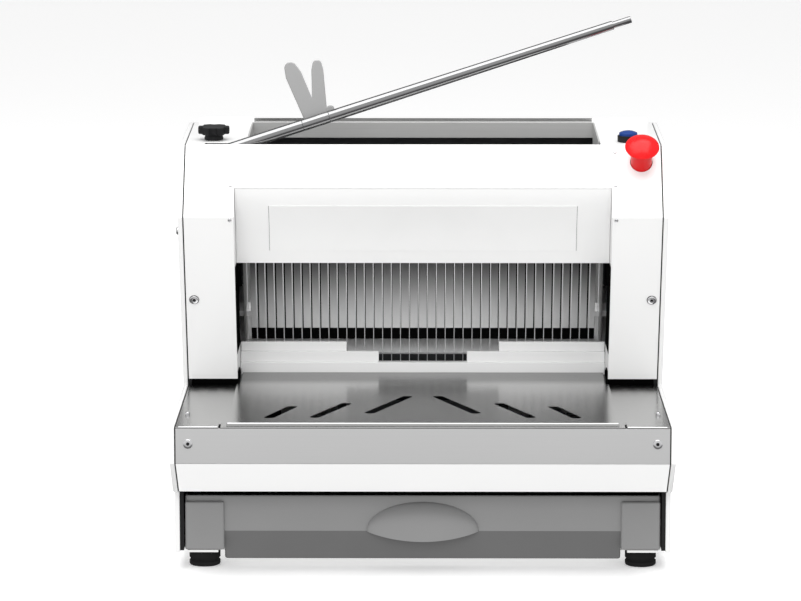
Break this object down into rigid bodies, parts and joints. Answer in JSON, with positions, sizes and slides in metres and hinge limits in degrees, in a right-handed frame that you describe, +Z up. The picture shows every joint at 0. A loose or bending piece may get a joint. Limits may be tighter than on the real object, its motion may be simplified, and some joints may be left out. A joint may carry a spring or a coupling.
{
  "type": "bread slicer",
  "caption": "Table-top bread slicer with upright reciprocating blades behind a sloping front, a loading hopper with hand lever, a delivery table and a crumb drawer.",
  "frame": {"origin": "centre of the object's box, on the floor under the feet", "axes": "+Z up, -Y towards the delivery table, +X to the right seen from the table"},
  "size_m": [0.638, 0.707, 0.6935],
  "materials": {
    "white_paint": "smooth white enamel",
    "brushed_steel": "brushed stainless",
    "blade_steel": "ground steel",
    "bright_steel": "polished",
    "frame_paint": "grey enamel",
    "cast_metal": "painted casting",
    "satin_aluminium": "satin",
    "grey_plastic": "moulded, fine grain",
    "black_plastic": "moulded",
    "red_plastic": "gloss",
    "blue_plastic": "gloss",
    "rubber": "matt"
  },
  "bodies": {
    "machine": {"base_plate": "white_paint", "guard_plate": "white_paint", "left_side_cover": "white_paint", "right_side_cover": "white_paint", "front_cover": "white_paint", "top_deck": "white_paint", "rear_cover": "white_paint", "lower_apron": "white_paint", "rail_lower": "white_paint", "rail_middle": "white_paint", "rail_upper": "white_paint", "rear_lid": "brushed_steel", "hopper_liner": "brushed_steel", "front_apron": "brushed_steel", "delivery_table": "brushed_steel", "chute_floor": "brushed_steel", "chute_sides": "brushed_steel", "lever_pin": "bright_steel", "guide_rods": "bright_steel", "pusher_rods": "bright_steel", "screws": "bright_steel", "cover_bolts": "bright_steel", "left_frame": "frame_paint", "right_frame": "frame_paint", "tie_bars": "frame_paint", "guide_blocks": "frame_paint", "bearing_blocks": "frame_paint", "motor_mount": "frame_paint", "rod_brackets": "frame_paint", "lever_bracket": "frame_paint", "drawer_runners": "frame_paint", "control_box": "frame_paint", "motor": "cast_metal", "start_body": "black_plastic", "stop_switch": "black_plastic", "power_inlet": "black_plastic", "feet": "rubber", "drive_belt": "rubber"},
    "plate": {"crumb_plate": "brushed_steel"},
    "drawer": {"drawer_front": "grey_plastic", "drawer_handle": "grey_plastic", "crumb_tray": "brushed_steel"},
    "front_frame": {"front_blade_frame": "frame_paint", "front_blades": "blade_steel", "front_connecting_rods": "frame_paint"},
    "rear_frame": {"rear_blade_frame": "frame_paint", "rear_blades": "blade_steel", "rear_connecting_rods": "frame_paint"},
    "crank": {"crankshaft": "bright_steel", "crank_pulley": "cast_metal"},
    "rotor": {"motor_shaft": "bright_steel", "motor_pulley": "cast_metal"},
    "pusher_unit": {"pusher": "brushed_steel"},
    "lever": {"lever_hub": "frame_paint", "lever_bar": "bright_steel"},
    "paddle_pair": {"paddle_collar": "bright_steel", "paddles": "satin_aluminium"},
    "knob": {"star_knob": "black_plastic"},
    "start": {"start_button": "blue_plastic"},
    "stop": {"stop_button": "red_plastic"}
  },
  "joints": [
    {"name": "lever_swing", "type": "hinge", "parent": "machine", "child": "lever", "pos_m": [-0.274, -0.0745, 0.5126], "axis": [0, -1, 0], "range_deg": [-6, 39.5]},
    {"name": "paddles_turn", "type": "hinge", "parent": "lever", "child": "paddle_pair", "pos_m": [-0.13895, -0.0745, 0.55648], "axis": [-0.9511, 0, -0.309], "range_deg": [0, 100]},
    {"name": "knob_turn", "type": "hinge", "parent": "machine", "child": "knob", "pos_m": [-0.274, -0.0445, 0.52847], "axis": [0, -0.035, 0.9994], "range_deg": [-180, 180]},
    {"name": "start_press", "type": "slide", "parent": "machine", "child": "start", "axis": [0, 0.035, -0.9994], "range_m": [0, 0.003], "stiffness_N_per_m": 600},
    {"name": "stop_press", "type": "slide", "parent": "machine", "child": "stop", "axis": [0, 0.6428, -0.766], "range_m": [0, 0.005]},
    {"name": "drawer_slide", "type": "slide", "parent": "machine", "child": "drawer", "axis": [0, -1, 0], "range_m": [0, 0.2]},
    {"name": "plate_lift", "type": "slide", "parent": "machine", "child": "plate", "axis": [0, 0, 1], "range_m": [0, 0.02]},
    {"name": "pusher_slide", "type": "slide", "parent": "machine", "child": "pusher_unit", "axis": [0, 0.9298, 0.3681], "range_m": [0, 0.1]},
    {"name": "front_frame_slide", "type": "slide", "parent": "machine", "child": "front_frame", "axis": [0, -0.3681, 0.9298], "range_m": [-0.008, 0.008]},
    {"name": "rear_frame_slide", "type": "slide", "parent": "machine", "child": "rear_frame", "axis": [0, -0.3681, 0.9298], "range_m": [-0.008, 0.008]},
    {"name": "crank_spin", "type": "hinge", "parent": "machine", "child": "crank", "pos_m": [0, 0.11289, 0.075], "axis": [1, 0, 0], "continuous": true},
    {"name": "motor_spin", "type": "hinge", "parent": "machine", "child": "rotor", "pos_m": [0, 0.2685, 0.083], "axis": [1, 0, 0], "continuous": true}
  ],
  "couplings": [
    {"joint": "rear_frame_slide", "follows": "front_frame_slide", "ratio": -1},
    {"joint": "motor_spin", "follows": "crank_spin", "ratio": 2.2222}
  ]
}
